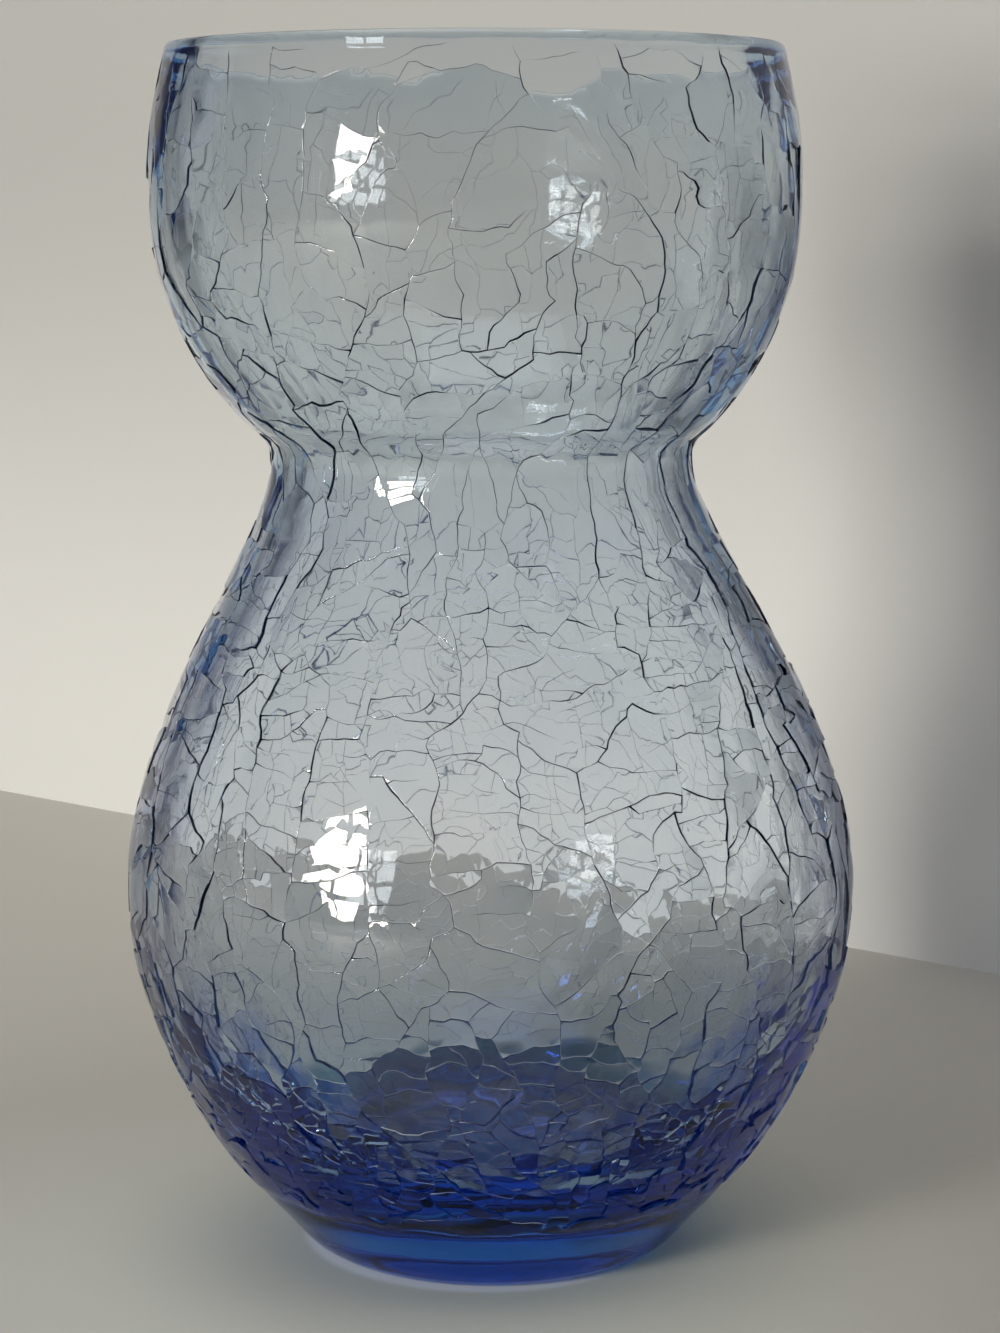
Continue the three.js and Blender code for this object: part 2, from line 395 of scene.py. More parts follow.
class Cracks:
    """Cracks that grow over the skin. A corner is a turn and a run, and its ways lead to the next corners."""

    COLUMNS = 150  # of the boxes that corners are looked up in
    ROW = 2.5 * MM  # height of those boxes
    STEP = 1.3 * MM  # from corner to corner
    CATCH = 1.0 * MM  # a crack that comes this near another runs into it
    RIM_GAP = 0.2 * MM  # cracks stop this far from the end of the skin
    WIDEST = 0.27 * MM
    DEEPEST = 1.8 * MM
    PULL = 0.25  # how strongly a crack comes back to its aim at each step
    JOLT = 0.6  # a sudden turn, in radians
    JOLT_CHANCE = 0.12
    KINK = 0.15 * MM
    SWELL = 0.25  # how much the width changes at each step
    SWELL_KEPT = 0.8
    SWELL_MEAN = 0.12
    HAIR_WANDER = 0.6  # of another crack's
    HAIR_JOINS = 0.8  # the share of hair cracks that run into what they meet
    END_WIDTHS = (0.3, 0.5, 0.75)  # the taper at a free end
    THICK_SKIN = (30 * MM, 60 * MM)  # heights between which the skin gets thinner
    THICK_STEEPNESS = (0.8, 1)

    def __init__(self, section, crackle, rng):
        self.section = section
        self.hair = crackle.hair_width
        self.steepness = crackle.steepness
        self.rng = rng
        self.low = section.ledge + self.CATCH
        self.high = section.skin_high - self.RIM_GAP
        self.corners = []
        self.widths = []
        self.kinds = []
        self.ways = []
        self.boxes = {}

    def radius(self, run):
        """Radius of the glass at a run along its section."""
        return float(np.interp(run, self.section.run, self.section.radius))

    def height(self, run):
        """Height of the glass at a run along its section."""
        return float(np.interp(run, self.section.run, self.section.height))

    def add(self, turn, run, width, kind):
        """Adds a corner, and gives its number."""
        corner = len(self.corners)
        self.corners.append((turn % TURN, run))
        self.widths.append(width)
        self.kinds.append(kind)
        self.ways.append(set())
        box = (int(turn % TURN / TURN * self.COLUMNS), int(run / self.ROW))
        self.boxes.setdefault(box, []).append(corner)
        return corner

    def join(self, a, b):
        """Joins two corners by a stretch of crack."""
        self.ways[a].add(b)
        self.ways[b].add(a)

    def nearest(self, turn, run, reach, kinds, skip=()):
        """The nearest corner of some kinds within reach of a place, or None."""
        radius = self.radius(run)
        columns = math.ceil(reach / radius / TURN * self.COLUMNS)
        middle = int(turn % TURN / TURN * self.COLUMNS)
        best = None
        for row in range(int((run - reach) / self.ROW), int((run + reach) / self.ROW) + 1):
            for column in range(middle - columns, middle + columns + 1):
                for corner in self.boxes.get((column % self.COLUMNS, row), ()):
                    if self.kinds[corner] not in kinds or corner in skip:
                        continue
                    there = self.corners[corner]
                    away = math.hypot((near_turn(there[0], turn) - turn) * radius, there[1] - run)
                    if away < reach:
                        best = corner
                        reach = away
        return best

    def grow(self, start, heading, bend, life, joins=True):
        """Grows a crack from a corner until it meets another, leaves the skin or stops.

        Gives the corner and the heading where it stopped in the open, or None.
        """
        rng = self.rng
        kind = self.kinds[start]
        here = start
        aim = heading
        swell = 0.0
        skip = {start, *self.ways[start]}
        grown = 0.0
        made = []
        while grown < life:
            turn, run = self.corners[here]
            aim += bend * self.STEP
            wander = by_height(WANDER, self.height(run)) * (self.HAIR_WANDER if kind == HAIR else 1)
            jolt = rng.normal(0, self.JOLT) if rng.uniform() < self.JOLT_CHANCE else 0
            heading += jolt + rng.normal(0, wander) + self.PULL * (aim - heading)
            swell = self.SWELL_KEPT * swell + rng.normal(0, self.SWELL)
            kink = rng.normal(0, self.KINK)
            turn += (self.STEP * math.cos(heading) - kink * math.sin(heading)) / self.radius(run)
            run += self.STEP * math.sin(heading) + kink * math.cos(heading)
            if not self.low < run < self.high:
                return None
            met = self.nearest(turn, run, self.CATCH, ANY_CRACK, skip)
            if met is not None:
                if joins or rng.uniform() < self.HAIR_JOINS:
                    self.join(here, met)
                    return None
                break
            width = min(self.base_width(run, kind) * math.exp(swell - self.SWELL_MEAN), self.WIDEST)
            after = self.add(turn, run, width, kind)
            self.join(here, after)
            made.append(after)
            skip = {here, after} if grown > self.STEP else skip | {after}
            here = after
            grown += self.STEP
        if kind != UPRIGHT:
            for share, corner in zip(self.END_WIDTHS, reversed(made)):
                self.widths[corner] *= share
        return here, heading

    def branch(self, start, heading, bend, life):
        """Starts a crack sideways from a corner of another, where there is room for it, and grows it."""
        turn, run = self.corners[start]
        turn += self.STEP * math.cos(heading) / self.radius(run)
        run += self.STEP * math.sin(heading)
        if not self.low < run < self.high:
            return
        if self.nearest(turn, run, self.CATCH, ANY_CRACK, {start, *self.ways[start]}) is not None:
            return
        corner = self.add(turn, run, self.base_width(run, LEVEL), LEVEL)
        self.join(start, corner)
        self.grow(corner, heading, bend, life)

    def depth(self, corner):
        """How deep a crack goes at a corner: less where the skin is thick, towards the base."""
        height = self.height(self.corners[corner][1])
        steepness = self.steepness * np.interp(height, self.THICK_SKIN, self.THICK_STEEPNESS)
        return min(self.widths[corner] * steepness, self.DEEPEST)

    def base_width(self, run, kind):
        """The usual width of a kind of crack at a run."""
        return self.hair if kind == HAIR else by_height(CRACK_WIDTH, self.height(run))


def grow_uprights(cracks, trials):
    """Long cracks that run up the glass, wander to the sides and fork at their ends."""
    room = 0.8  # of the usual gap, left clear round a new crack
    off_upright = 0.45  # of the lean
    shortest, usual, lost_by_leaning = 4, 36, 26  # lengths in millimetres
    fork_turn = (0.95, 0.2)  # mean and spread, in radians
    fork_bend = (20, 15)  # mean and spread, in radians a metre
    rng = cracks.rng
    ends = []
    for _ in range(trials):
        turn = rng.uniform(0, TURN)
        run = rng.uniform(cracks.low, cracks.high)
        gap = by_height(UPRIGHT_GAP, cracks.height(run))
        lean = by_height(LEAN, cracks.height(run))
        up = rng.normal(math.pi / 2, off_upright * lean)
        life = rng.exponential((usual - lost_by_leaning * lean) * MM, 2) + shortest * MM
        if cracks.nearest(turn, run, room * gap, (UPRIGHT,)) is None:
            seed = cracks.add(turn, run, cracks.base_width(run, UPRIGHT), UPRIGHT)
            ends.append(cracks.grow(seed, up, 0, life[0]))
            ends.append(cracks.grow(seed, up + math.pi, 0, life[1]))
    for corner, heading in filter(None, ends):
        for side in (-1, 1):
            fork = heading + side * rng.normal(*fork_turn)
            cracks.branch(corner, fork, side * rng.normal(*fork_bend), LONGEST_BRANCH)


def grow_levels(cracks, trials):
    """Cracks that leave an upright one sideways and end on the next."""
    room = 0.55  # of the usual gap, left clear above and below a new crack
    look_aside = 0.4  # where that room is measured, as a share of the way to the next upright
    slant = (0.15, 0.3)  # mean and spread, in radians
    curl = (25, 15)  # mean and spread, in radians a metre
    rng = cracks.rng
    uprights = len(cracks.corners)
    for _ in range(trials):
        start = int(rng.integers(uprights))
        turn, run = cracks.corners[start]
        side = rng.choice((-1, 1))
        tilt = rng.normal(*slant)
        height = cracks.height(run)
        gap = by_height(LEVEL_GAP, height)
        probe = turn + side * look_aside * by_height(UPRIGHT_GAP, height) / cracks.radius(run)
        bend = -side * rng.normal(*curl)
        if len(cracks.ways[start]) > 2 or cracks.nearest(probe, run, room * gap, (LEVEL,)) is not None:
            continue
        cracks.branch(start, tilt if side > 0 else math.pi - tilt, bend, LONGEST_BRANCH)


def grow_hairs(cracks, trials):
    """Hair cracks across the plates: like the rungs of a ladder on the shoulder, and any way elsewhere."""
    curl = (20, 20)  # mean and spread, in radians a metre
    shortest, longest = 3, 12  # of each half, in millimetres
    rng = cracks.rng
    for _ in range(trials):
        turn = rng.uniform(0, TURN)
        run = rng.uniform(cracks.low, cracks.high)
        gap = by_height(HAIR_GAP, cracks.height(run))
        tilt = rng.normal(0, by_height(LEAN, cracks.height(run)))
        bend = rng.normal(*curl)
        life = rng.uniform(shortest, longest, 2) * MM
        if gap > NO_HAIRS or cracks.nearest(turn, run, gap, (HAIR,)) is not None:
            continue
        if cracks.nearest(turn, run, cracks.CATCH, (UPRIGHT, LEVEL)) is not None:
            continue
        seed = cracks.add(turn, run, cracks.hair, HAIR)
        cracks.grow(seed, tilt, -bend, life[0], joins=False)
        cracks.grow(seed, math.pi + tilt, bend, life[1], joins=False)


class Flat:
    """Points of the skin as turn, run and lift, with the lines that its faces must follow."""

    def __init__(self):
        self.points = []
        self.lines = []
        self.depths = []

    def point(self, turn, run, lift=0.0):
        """Adds a point, and gives its number."""
        self.points.append((turn, run, lift))
        return len(self.points) - 1

    def line(self, chain, depth=0.0):
        """Joins a chain of points. A line at the bottom of a crack gives its depth."""
        for pair in zip(chain, chain[1:]):
            self.lines.append(pair)
            self.depths.append(depth)


def lay_grooves(flat, cracks, lip):
    """Opens each crack as a groove: a line at its bottom, and at each side a lip that is melted round."""
    bottoms = {}
    inner = {}
    outer = {}
    for corner, ways in enumerate(cracks.ways):
        turn, run = cracks.corners[corner]
        half = cracks.widths[corner] / 2
        hair = cracks.kinds[corner] == HAIR
        drop = 0.0 if hair else -LIP_DROP * lip
        if len(ways) < 2:
            bottoms[corner] = flat.point(turn, run)
            for way in ways:
                for sides in (inner, outer):
                    sides[corner, way, 0] = sides[corner, way, 1] = bottoms[corner]
            continue
        bottoms[corner] = flat.point(turn, run, -cracks.depth(corner))
        radius = cracks.radius(run)
        arms = []
        for way in ways:
            there = cracks.corners[way]
            arms.append((math.atan2(there[1] - run, (near_turn(there[0], turn) - turn) * radius), way))
        arms.sort()
        for (angle, way), (after, after_way) in zip(arms, (*arms[1:], arms[0])):
            opening = (after - angle) % TURN or TURN
            middle = angle + opening / 2
            for sides, reach, lift in ((inner, half, drop), (outer, half + lip, 0.0)):
                out = reach / max(math.sin(opening / 2), FORK_REACH)
                place = flat.point(turn + out * math.cos(middle) / radius, run + out * math.sin(middle), lift)
                sides[corner, way, 0] = sides[corner, after_way, 1] = place
                if hair:
                    outer[corner, way, 0] = outer[corner, after_way, 1] = place
                    break
    for corner, ways in enumerate(cracks.ways):
        for way in ways:
            if corner < way:
                depth = (cracks.depth(corner) + cracks.depth(way)) / 2
                flat.line([bottoms[corner], bottoms[way]], depth)
                for sides in (inner, outer):
                    for a, b in ((0, 1), (1, 0)):
                        flat.line([sides[corner, way, a], sides[way, corner, b]])


def place_in_space(section, turn, run):
    """A point of the skin in space, before it is set off the axis."""
    radius = float(np.interp(run, section.run, section.radius))
    height = float(np.interp(run, section.run, section.height))
    return Vector((radius * math.cos(turn), radius * math.sin(turn), height))


def lay_skin(flat, section, step, rng):
    """Points on the smooth skin between the cracks."""
    row = 0.87 * step  # as in a net of equal triangles
    room = 0.42 * step  # left clear round the points of a crack
    stray = 0.2  # of a step
    taken = KDTree(len(flat.points))
    for i, (turn, run, _) in enumerate(flat.points):
        taken.insert(place_in_space(section, turn, run), i)
    taken.balance()
    run = section.skin_low + step
    while run < section.skin_high - step / 2:
        count = round(TURN * float(np.interp(run, section.run, section.radius)) / step)
        shift = rng.uniform(0, TURN)
        for k in range(count):
            turn = shift + (k + rng.uniform(-stray, stray)) * TURN / count
            at = run + rng.uniform(-stray, stray) * step
            if taken.find(place_in_space(section, turn, at))[2] > room:
                flat.point(turn, at)
        run += row


def mesh_skin(flat, section):
    """Faces over the flat drawing. Gives points, faces, and for each drawn point the point that it became."""
    top = float(np.interp(section.skin_high, section.run, section.swell))
    turn, run, lift = np.array(flat.points).T
    out = np.exp(np.interp(run, section.run, section.swell) - top)
    plan = [Vector(p) for p in np.c_[out * np.cos(turn), out * np.sin(turn)]]
    made, edges, faces, sources, edge_sources, _ = delaunay_2d_cdt(plan, flat.lines, [], 0, 1e-9, True)
    deep = np.zeros(len(made))
    for edge, ids in zip(edges, edge_sources):
        depth = max((flat.depths[i] for i in ids), default=0)
        for i in edge:
            deep[i] = max(deep[i], depth)
    points = []
    became = {}
    for i, ids in enumerate(sources):
        became.update(dict.fromkeys(ids, i))
        if ids:
            lowest = min(ids, key=lambda j: lift[j])
            points.append([turn[lowest] % TURN, run[lowest], lift[lowest]])
        else:
            x, y = made[i]
            swell = math.log(math.hypot(x, y)) + top
            at = float(np.interp(swell, section.swell, section.run))
            points.append([math.atan2(y, x) % TURN, at, -deep[i]])
    return points, [list(face[::-1]) for face in faces], became


def find_plates(places, faces, skin, size, rng):
    """Parts the skin into plates: one between cracks, or more where that is wider than a size.

    Gives each face's plate, and the face that each plate spread from.
    """
    sides = {}
    for i in skin:
        face = faces[i]
        for a, b in zip(face, (*face[1:], face[0])):
            sides.setdefault((min(a, b), max(a, b)), []).append(i)

    def spread(seeds, plate):
        """Carries each seed's plate on to the faces round it, and gives all the faces reached."""
        queue = list(seeds)
        for i in queue:
            face = faces[i]
            for a, b in zip(face, (*face[1:], face[0])):
                for j in sides[min(a, b), max(a, b)]:
                    if j not in plate:
                        plate[j] = plate[i]
                        queue.append(j)
        return queue

    seeds = []
    done = {}
    for i in skin:
        if i in done:
            continue
        done[i] = 0
        cell = spread([i], done)
        corners = places[[faces[j] for j in cell]]
        two_sides = (corners[:, 1] - corners[:, 0], corners[:, 2] - corners[:, 0])
        area = np.linalg.norm(np.cross(*two_sides), axis=1).sum() / 2
        seeds += [int(j) for j in rng.choice(cell, min(1 + int(area / size ** 2), len(cell)), replace=False)]
    plate = {j: number for number, j in enumerate(seeds)}
    spread(seeds, plate)
    return plate, seeds


def tilt_plates(points, faces, grooved, section, crackle, rng):
    """Tips the skin between cracks plate by plate, as it settled when the glass was blown on."""
    places = np.array([place_in_space(section, turn, run) for turn, run, _ in points])
    skin = [i for i, groove in enumerate(grooved) if not groove]
    plate, seeds = find_plates(places, faces, skin, crackle.plate, rng)
    tips = rng.normal(0, 1, (len(seeds), 2))
    lifts = {}
    for i, number in plate.items():
        first = faces[seeds[number]][0]
        middle = points[first]
        radius = float(np.interp(middle[1], section.run, section.radius))
        tip = tips[number] * by_height(TILT, places[first][2])
        for k in faces[i]:
            x = (near_turn(points[k][0], middle[0]) - middle[0]) * radius
            y = points[k][1] - middle[1]
            flattened = crackle.flatness * x * x / (2 * radius)
            lifts.setdefault(k, []).append(tip[0] * x + tip[1] * y + flattened)
    settled = {}
    for k, found in lifts.items():
        run = points[k][1]
        near_edge = min((run - section.skin_low) / FOOT_FADE, (section.skin_high - run) / RIM_FADE)
        place = place_in_space(section, points[k][0], run)
        wave = noise.noise(Vector((place.x / WAVE_ACROSS, place.y / WAVE_ACROSS, place.z / WAVE_UP)) / MM)
        lift = sum(found) / len(found) + crackle.ripple * wave - PLATE_DEPTH
        foot = min(max((section.ledge + LEDGE_TOP - run) / LEDGE_DROP, 0), 1)
        lift += foot * (-DEEPEST_PLATE - lift)
        settled[k] = min(max(lift, -DEEPEST_PLATE), 0) * min(max(near_edge, 0), 1)
    lips = {}
    for face, groove in zip(faces, grooved):
        if groove:
            found = [settled[k] for k in face if k in settled]
            for k in face:
                if k not in settled:
                    lips.setdefault(k, []).extend(found)
    for k, found in lips.items():
        if found:
            settled[k] = sum(found) / len(found)
    for k, lift in settled.items():
        points[k][2] += lift


def turn_rows(points, faces, first, runs, lift, backwards=False):
    """Adds rows of points round the axis at each run, and the faces between them, on from a first ring."""
    ring = first
    count = len(first)
    turns = [points[i][0] for i in first]
    for j, run in enumerate(runs):
        if j == len(runs) - 1:
            after = [len(points)] * count
            points.append([0, run, 0])
        else:
            after = list(range(len(points), len(points) + count))
            points.extend([t, run, lift(t, run)] for t in turns)
        for k in range(count):
            n = (k + 1) % count
            corners = [ring[k], ring[n], after[n], after[k]]
            if after[n] == after[k]:
                corners.pop()
            faces.append(corners[::-1] if backwards else corners)
        ring = after


def draw_flat_glass(section, crackle):
    """The whole surface of the glass, drawn flat.

    Each point is a turn, a run along the section and a lift. Gives points, faces, which faces are in a
    crack, how dark each face is, and which faces are inside the vase.
    """
    rng = np.random.default_rng(crackle.seed)
    cracks = Cracks(section, crackle, rng)
    grow_uprights(cracks, trials=3000)
    grow_levels(cracks, trials=9000)
    grow_hairs(cracks, trials=9000)
    flat = Flat()
    low_ring = [flat.point(k * TURN / LOW_RING, section.skin_low) for k in range(LOW_RING)]
    high_ring = [flat.point(k * TURN / HIGH_RING, section.skin_high) for k in range(HIGH_RING)]
    for side in (-LEDGE_HALF, LEDGE_HALF):
        ledge = []
        for k in range(LEDGE_RING):
            wave = LEDGE_WAVE * noise.noise((k / LEDGE_WAVE_POINTS, 0, 0))
            ledge.append(flat.point(k * TURN / LEDGE_RING, section.ledge + side + wave))
        flat.line([*ledge, ledge[0]])
    flat.line([*low_ring, low_ring[0]])
    flat.line([*high_ring, high_ring[0]])
    lay_grooves(flat, cracks, crackle.lip)
    lay_skin(flat, section, crackle.facet, rng)
    points, faces, became = mesh_skin(flat, section)
    low_ring = [became[i] for i in low_ring]
    high_ring = [became[i] for i in high_ring]
    faces = [face for face in faces if not set(low_ring).issuperset(face)]
    under_lips = -1.5 * LIP_DROP * crackle.lip
    grooved = [any(points[i][2] < under_lips for i in face) for face in faces]
    tilt_plates(points, faces, grooved, section, crackle, rng)
    skin_faces = len(faces)

    def inner_lift(turn, run):
        """Slow waves on the inside."""
        away = min(max((run - section.rim_top) / INNER_CALM, 0), 1)
        return away * INNER_WAVE * noise.noise(place_in_space(section, turn, run) / INNER_WAVE_LENGTH)

    over_rim = np.linspace(section.skin_high, section.rim_top, RIM_ROWS)[1:]
    *into_rim, inside_top = section.rim_top + np.array(RIM_STEPS) * MM
    down = np.linspace(inside_top, section.floor_edge, INNER_ROWS)
    floor = np.linspace(section.floor_edge, section.end, FLOOR_ROWS)[1:]
    turn_rows(points, faces, high_ring, [*over_rim, *into_rim, *down, *floor], inner_lift)
    inner_faces = len(faces)
    under = np.linspace(section.skin_low, section.foot_edge, FOOT_ROWS)[1:]
    punt = np.linspace(section.foot_edge, 0, PUNT_ROWS)[1:]
    turn_rows(points, faces, low_ring, [*under, *punt], lambda turn, run: 0, backwards=True)
    add_seeds(points, faces, section, crackle.seeds, rng)
    # The painted shade of each crack face, by its height
    dark = []
    for face, groove in zip(faces, grooved):
        height = float(np.interp(points[face[0]][1], section.run, section.height))
        dark.append(groove * float(np.interp(height, CRACK_COLOUR, CRACK_DARKNESS)))
    dark += [0.0] * (len(faces) - len(dark))
    inner = np.zeros(len(faces), bool)
    inner[skin_faces:inner_faces] = True
    grooved += [False] * (len(faces) - len(grooved))
    return points, faces, np.array(grooved), dark, inner


def add_seeds(points, faces, section, count, rng):
    """Seeds: small air bubbles in the wall, drawn out along it. Their faces look into the air."""
    around = 10
    along = 6
    drawn_out = 1.3  # length as a multiple of width
    for _ in range(count):
        turn = rng.uniform(0, TURN)
        run = rng.uniform(section.skin_low + 20 * MM, section.skin_high - 5 * MM)
        radius = float(np.interp(run, section.run, section.radius))
        size = rng.uniform(0.1, 0.28) * MM
        depth = rng.uniform(1.6, 2.4) * MM
        first = len(points)
        for j in range(along + 1):
            tip = math.pi * j / along
            for k in range(around if 0 < j < along else 1):
                x = size * math.sin(tip) * math.cos(TURN * k / around)
                z = size * math.sin(tip) * math.sin(TURN * k / around)
                points.append([turn + x / radius, run - drawn_out * size * math.cos(tip), z - depth])
        last = len(points) - 1
        rings = [[first + 1 + j * around + k for k in range(around)] for j in range(along - 1)]
        for k in range(around):
            n = (k + 1) % around
            faces.append([first, rings[0][n], rings[0][k]])
            faces.append([last, rings[-1][k], rings[-1][n]])
            for low, high in zip(rings, rings[1:]):
                faces.append([low[k], low[n], high[n], high[k]])


def sharpen_grooves(mesh, grooved):
    """Shades the sides of the cracks flat and the skin smooth up to their lips."""
    mesh.polygons.foreach_set("use_smooth", ~grooved)
    corners = np.empty(len(mesh.polygons), int)
    mesh.polygons.foreach_get("loop_total", corners)
    edges = np.empty(len(mesh.loops), int)
    mesh.loops.foreach_get("edge_index", edges)
    sharp = np.zeros(len(mesh.edges), bool)
    sharp[edges[np.repeat(grooved, corners)]] = True
    mesh.edges.foreach_set("use_edge_sharp", sharp)


# Wrapping the flat drawing round the section


def wrap_tree(glass):
    """Geometry nodes that wrap a flat drawing round a section: X is the turn, Y the run and Z the lift."""
    tree = bpy.data.node_groups.new("wrap_round_section", "GeometryNodeTree")
    for name, direction, kind in (
        ("Flat drawing", "INPUT", "NodeSocketGeometry"),
        ("Section", "INPUT", "NodeSocketObject"),
        ("Glass", "OUTPUT", "NodeSocketGeometry"),
    ):
        tree.interface.new_socket(name, in_out=direction, socket_type=kind)
    given = add_node(tree, "NodeGroupInput").outputs
    drawn = add_node(tree, "GeometryNodeInputPosition").outputs[0]
    turn, run, lift = add_node(tree, "ShaderNodeSeparateXYZ", {0: drawn}).outputs
    section = add_node(tree, "GeometryNodeObjectInfo", {"Object": given["Section"]}).outputs["Geometry"]
    sample = add_node(tree, "GeometryNodeSampleCurve", {"Curves": section, "Length": run}, mode="LENGTH")
    radius, aside, height = add_node(tree, "ShaderNodeSeparateXYZ", {0: sample.outputs["Position"]}).outputs
    along = add_node(tree, "ShaderNodeSeparateXYZ", {0: sample.outputs["Tangent"]}).outputs
    cosine = add_node(tree, "ShaderNodeMath", {0: turn}, operation="COSINE").outputs[0]
    sine = add_node(tree, "ShaderNodeMath", {0: turn}, operation="SINE").outputs[0]
    lifted = add_node(tree, "ShaderNodeMath", {
        0: lift, 1: along["Z"], 2: radius,
    }, operation="MULTIPLY_ADD").outputs[0]
    sunk = add_node(tree, "ShaderNodeMath", {0: lift, 1: along["X"]}, operation="MULTIPLY").outputs[0]
    x = add_node(tree, "ShaderNodeMath", {
        0: lifted, 1: cosine, 2: aside,
    }, operation="MULTIPLY_ADD").outputs[0]
    y = add_node(tree, "ShaderNodeMath", {0: lifted, 1: sine}, operation="MULTIPLY").outputs[0]
    z = add_node(tree, "ShaderNodeMath", {0: height, 1: sunk}, operation="SUBTRACT").outputs[0]
    wrapped = add_node(tree, "ShaderNodeCombineXYZ", {"X": x, "Y": y, "Z": z}).outputs[0]
    moved = add_node(tree, "GeometryNodeSetPosition", {
        "Geometry": given["Flat drawing"], "Position": wrapped,
    }).outputs[0]
    solid = add_node(tree, "GeometryNodeRealizeInstances", {"Geometry": moved}).outputs[0]
    clear = add_node(tree, "GeometryNodeSetMaterial", {"Geometry": solid, "Material": glass}).outputs[0]
    add_node(tree, "NodeGroupOutput", {"Glass": clear})
    return tree


def wrap_glass(name, flat_mesh, section, glass):
    """The flat drawing wrapped round the section, as a plain mesh object."""
    curve = bpy.data.curves.new("glass_section", "CURVE")
    curve.dimensions = "3D"
    spline = curve.splines.new("POLY")
    spline.points.add(len(section.points) - 1)
    spline.points.foreach_set("co", np.c_[section.points, np.ones(len(section.points))].ravel())
    guide = bpy.data.objects.new("glass_section", curve)
    flat = bpy.data.objects.new("flat_drawing", flat_mesh)
    for made in (guide, flat):
        bpy.context.collection.objects.link(made)
    tree = wrap_tree(glass)
    modifier = flat.modifiers.new("wrap", "NODES")
    modifier.node_group = tree
    modifier[tree.interface.items_tree["Section"].identifier] = guide
    weigh = flat.modifiers.new("weigh_normals", "WEIGHTED_NORMAL")
    weigh.keep_sharp = True
    wrapped = flat.evaluated_get(bpy.context.evaluated_depsgraph_get())
    mesh = bpy.data.meshes.new_from_object(wrapped)
    mesh.name = name
    piece = bpy.data.objects.new(name, mesh)
    bpy.context.collection.objects.link(piece)
    for made in (flat, guide):
        bpy.data.objects.remove(made)
    return piece


# Materials


def new_material(name):
    """An empty material, and its node tree."""
    material = bpy.data.materials.new(name)
    material.use_nodes = True
    material.node_tree.nodes.clear()
    return material, material.node_tree


def blown_glass(name, props):
    """Soda glass tinted pale blue, blown and fire-polished.

    The eye sees through it, deeper blue where the glass is thick or seen edge-on. The sides of the cracks
    have painted shade and let little light through, except near the base, where they are pale.
    """
    material, tree = new_material(name)
    dark = add_node(tree, "ShaderNodeAttribute", attribute_name="dark").outputs["Fac"]
    rough = add_node(tree, "ShaderNodeAttribute", attribute_name="rough").outputs["Fac"]
    place = add_node(tree, "ShaderNodeTexCoord").outputs["Object"]
    height = add_node(tree, "ShaderNodeSeparateXYZ", {0: place}).outputs["Z"]
    facing = add_node(tree, "ShaderNodeLayerWeight").outputs["Facing"]
    colours = {"Base Color": (*props.cup_tint, 1), "Specular Tint": (1, 1, 1, 1)}
    for socket, tint, (low, high), edge_on in (
        ("Base Color", props.wall_tint, BELLY_COLOUR, None),
        ("Base Color", props.side_tint, SIDE_COLOUR, SIDE_EDGE),
        ("Base Color", props.heel_tint, HEEL_COLOUR, HEEL_EDGE),
        ("Base Color", props.base_tint, BASE_COLOUR, None),
        ("Base Color", props.foot_tint, FOOT_COLOUR, None),
        ("Specular Tint", props.base_glint, GLINT_COLOUR, None),
    ):
        share = add_node(tree, "ShaderNodeMapRange", {
            "Value": height, "From Min": low, "From Max": high, "To Min": 1.0, "To Max": 0.0,
        }, interpolation_type="SMOOTHSTEP").outputs[0]
        if edge_on:
            share = add_node(tree, "ShaderNodeMapRange", {
                "Value": facing, "From Min": edge_on[0], "From Max": edge_on[1], "To Max": share,
            }, interpolation_type="SMOOTHSTEP").outputs[0]
        colours[socket] = add_node(tree, "ShaderNodeMix", {
            0: share, 6: colours[socket], 7: (*tint, 1),
        }, data_type="RGBA").outputs[2]
    # Painted shade: the sides of the cracks darkened towards the crack shade colour, fully above the base
    colours["Base Color"] = add_node(tree, "ShaderNodeMix", {
        0: dark, 6: colours["Base Color"], 7: (*props.crack_shade, 1),
    }, data_type="RGBA").outputs[2]
    surface = add_node(tree, "ShaderNodeBsdfPrincipled", {
        **colours, "Roughness": rough, "IOR": props.ior, "Transmission Weight": 1.0,
    })
    volume = add_node(tree, "ShaderNodeVolumeAbsorption", {
        "Color": (*props.tint, 1), "Density": props.density,
    })
    add_node(tree, "ShaderNodeOutputMaterial", {"Surface": surface.outputs[0], "Volume": volume.outputs[0]})
    return material


def matt_paint(name, colour, across, near, far, shade):
    """Smooth matt paint with painted shade, which darkens it evenly along a direction, from one distance to
    another.
    """
    material, tree = new_material(name)
    place = add_node(tree, "ShaderNodeNewGeometry").outputs["Position"]
    along = add_node(tree, "ShaderNodeVectorMath", {0: place, 1: across}, operation="DOT_PRODUCT")
    painted_falloff = add_node(tree, "ShaderNodeMapRange", {
        "Value": along.outputs["Value"], "From Min": near, "From Max": far, "To Min": 1.0, "To Max": shade,
    }, interpolation_type="SMOOTHSTEP")
    paint = add_node(tree, "ShaderNodeVectorMath", {0: colour, "Scale": painted_falloff.outputs[0]}, operation="SCALE")
    surface = add_node(tree, "ShaderNodeBsdfPrincipled", {"Base Color": paint.outputs[0], "Roughness": 0.7})
    return material, tree, surface


# Operators


